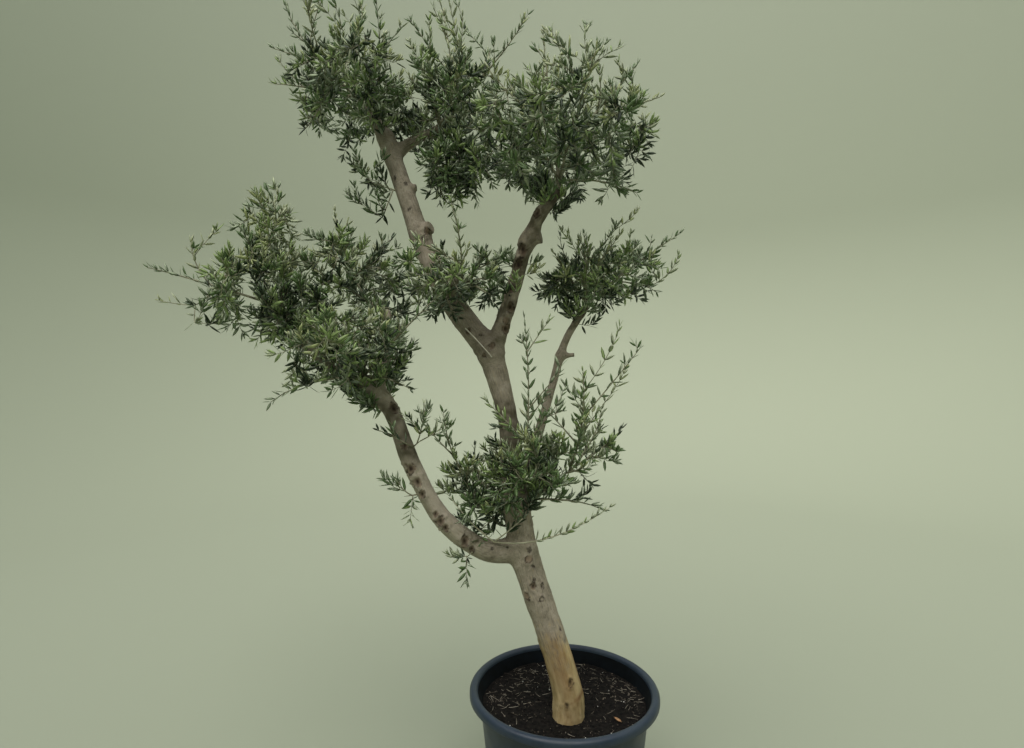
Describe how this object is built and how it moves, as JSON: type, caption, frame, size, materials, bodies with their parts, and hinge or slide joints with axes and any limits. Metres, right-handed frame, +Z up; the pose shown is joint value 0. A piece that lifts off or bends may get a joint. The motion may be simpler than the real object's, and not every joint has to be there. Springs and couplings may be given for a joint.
{
  "type": "potted olive tree",
  "caption": "Olive tree with a leaning, forked trunk and separate pads of foliage on bare boughs, growing in a round nursery pot.",
  "frame": {"origin": "centre of the flat underside of the pot", "axes": "+Z up, -Y is the front that the picture shows, +X to its right; the tree leans towards -X"},
  "size_m": [1.8826, 0.8873, 2.7739],
  "materials": {
    "pot": "satin",
    "soil": "matte",
    "bark": "matte",
    "foliage": "satin"
  },
  "bodies": {
    "root": {"pot": "pot", "soil": "soil", "trunk": "bark", "bough_low_left": "bark", "bough_left_outer": "bark", "bough_left_inner": "bark", "bough_upper_left": "bark", "bough_top_left": "bark", "bough_top_centre": "bark", "bough_upper_right": "bark", "bough_right": "bark", "bough_mid": "bark", "foliage_left_outer": "foliage", "foliage_left_inner": "foliage", "foliage_left_low": "foliage", "foliage_top_left": "foliage", "foliage_top_centre": "foliage", "foliage_top_right": "foliage", "foliage_mid": "foliage", "foliage_right": "foliage", "foliage_low_front": "foliage", "foliage_low_right": "foliage", "foliage_low_left": "foliage", "sprig_low_bough": "foliage", "sprig_bough_side": "foliage", "sprig_under_bough": "foliage", "sprig_upper_left": "foliage"}
  },
  "joints": []
}
